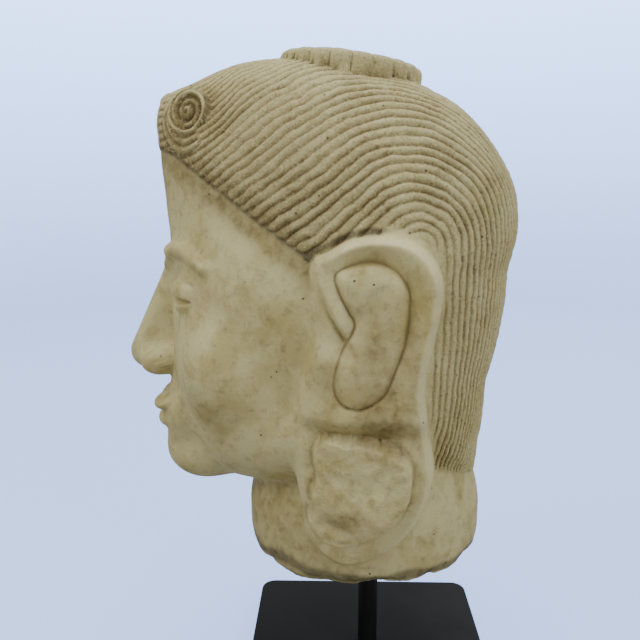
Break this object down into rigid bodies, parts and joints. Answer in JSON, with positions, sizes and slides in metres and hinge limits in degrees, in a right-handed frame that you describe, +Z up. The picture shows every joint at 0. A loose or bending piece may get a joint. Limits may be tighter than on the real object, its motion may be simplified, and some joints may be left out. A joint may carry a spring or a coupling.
{
  "type": "tirthankara head sculpture",
  "caption": "Carved marble head with combed hair, top knot and long broken-lobed ears, held upright on a slim steel rod above a square rounded base plate.",
  "frame": {"origin": "middle of the base plate's underside, on the rod's axis", "axes": "+Z up, the face looks along -Y, the figure's left ear at +X"},
  "size_m": [0.1586, 0.1862, 0.3145],
  "materials": {
    "marble": "cream marble, worn polish on the skin, matt dusty carving, ochre and brown stains",
    "black_steel": "black paint, satin",
    "charcoal_steel": "charcoal powder coat, satin"
  },
  "bodies": {
    "root": {"head": "marble", "rod": "black_steel", "base_plate": "charcoal_steel"}
  },
  "joints": []
}
